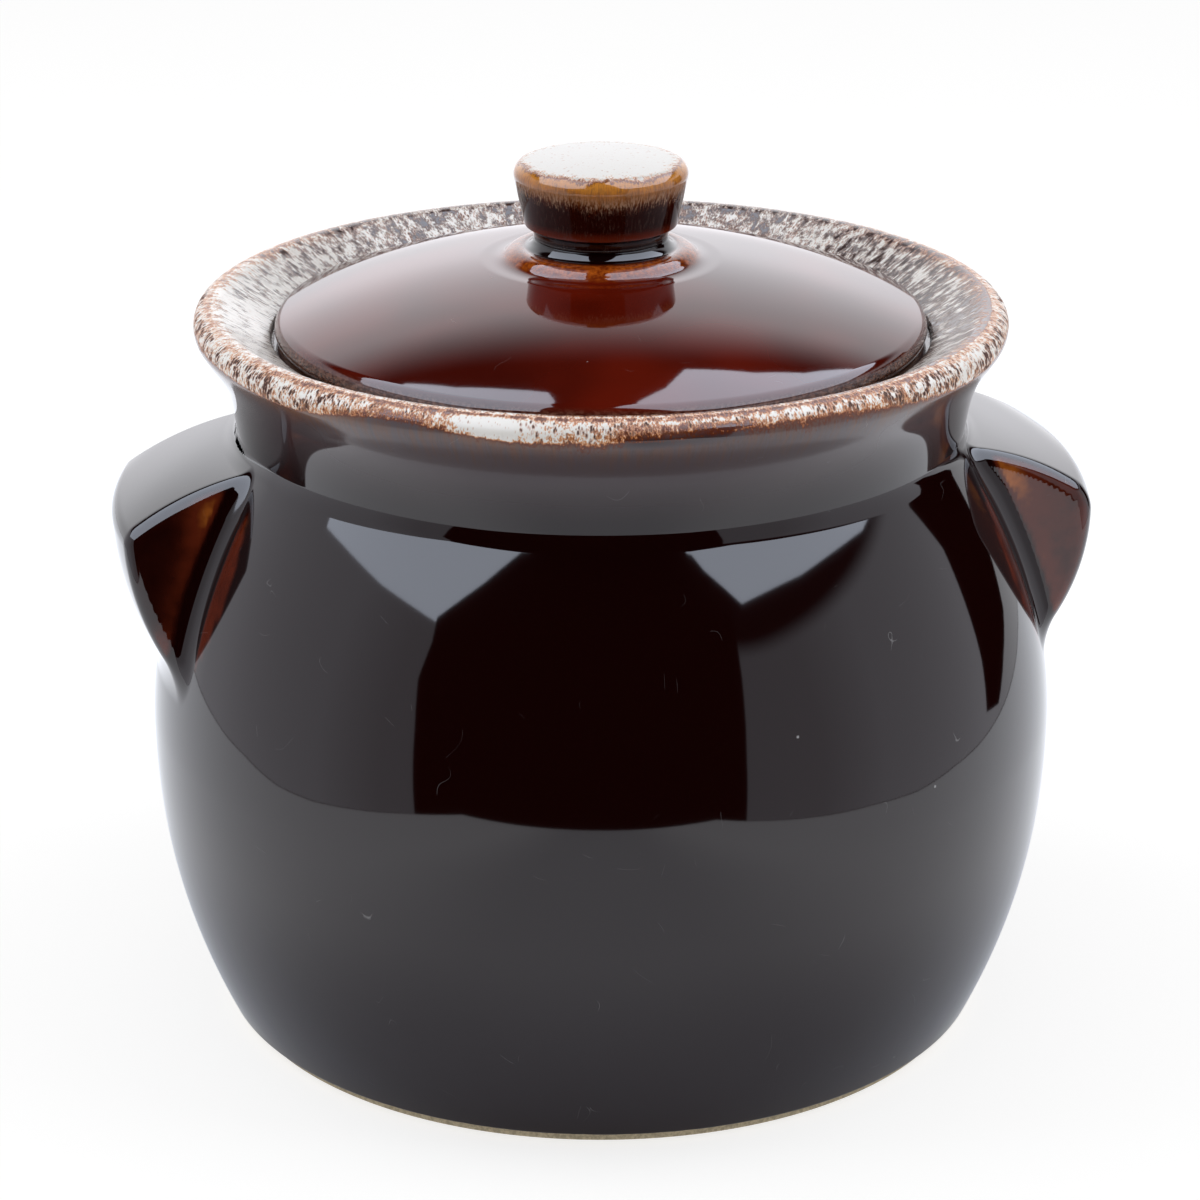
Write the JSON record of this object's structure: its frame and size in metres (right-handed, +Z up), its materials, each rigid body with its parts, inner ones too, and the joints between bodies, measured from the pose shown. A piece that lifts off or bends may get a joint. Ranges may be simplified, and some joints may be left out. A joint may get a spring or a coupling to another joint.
{
  "type": "bean pot",
  "caption": "Round-bellied glazed stoneware bean pot with a flared mottled collar, broad lug handles on its shoulder and a domed lift-off lid with a button knob.",
  "frame": {"origin": "centre of the foot's resting plane, under the middle of the pot", "axes": "+Z up along the pot's axis, +X towards the right handle, -Y towards the front"},
  "size_m": [0.1936, 0.18, 0.1725],
  "materials": {
    "pot_glaze": "very glossy dark brown glaze with a frothy cream and amber rim, bare clay foot",
    "lid_glaze": "very glossy red-brown glaze",
    "knob_glaze": "glossy red-brown glaze that breaks to amber and a speckled cream top"
  },
  "bodies": {
    "pot": {"pot_body": "pot_glaze", "left_handle": "pot_glaze", "right_handle": "pot_glaze"},
    "lid": {"lid": "lid_glaze", "knob": "knob_glaze"}
  },
  "joints": [
    {"name": "lid_lift", "type": "slide", "parent": "pot", "child": "lid", "axis": [0, 0, 1], "range_m": [0, 0.08]}
  ]
}
